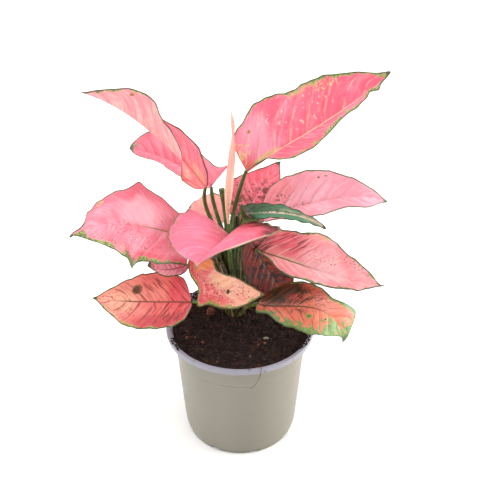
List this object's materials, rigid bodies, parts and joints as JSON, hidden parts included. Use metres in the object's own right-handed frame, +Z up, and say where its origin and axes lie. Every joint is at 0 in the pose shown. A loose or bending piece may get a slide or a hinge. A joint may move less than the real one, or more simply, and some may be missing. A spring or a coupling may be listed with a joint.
{
  "type": "potted chinese evergreen",
  "caption": "Leafy foliage plant with broad pointed pink blades on slim green stalks, standing in soil in a round tapered pot with a broad rim.",
  "frame": {"origin": "centre of the pot's flat underside, on the surface that it stands on", "axes": "+Z up along the pot's axis, -Y towards the side that faces the viewer, +X to the viewer's right"},
  "size_m": [0.2395, 0.1708, 0.3323],
  "materials": {
    "pot": "satin",
    "soil": "matte",
    "stem": "satin",
    "new_leaf": "satin",
    "pink_leaf": "satin",
    "coral_leaf": "satin",
    "green_leaf": "satin"
  },
  "bodies": {
    "root": {"pot": "pot", "soil": "soil", "stem": "stem", "rolled_leaf": "new_leaf", "leaf_upper_right": "pink_leaf", "leaf_upper_left": "pink_leaf", "leaf_upper_left_behind": "pink_leaf", "leaf_left": "pink_leaf", "leaf_centre": "pink_leaf", "leaf_right": "pink_leaf", "leaf_lower_right": "pink_leaf", "leaf_back_right": "coral_leaf", "leaf_lowest_right": "coral_leaf", "leaf_front": "coral_leaf", "leaf_lowest_left": "coral_leaf", "leaf_shaded": "coral_leaf", "leaf_back_left": "coral_leaf", "leaf_under_left": "coral_leaf", "leaf_low_behind": "coral_leaf", "leaf_low_behind_left": "coral_leaf", "leaf_low_behind_right": "coral_leaf", "leaf_folded_green": "green_leaf"}
  },
  "joints": []
}
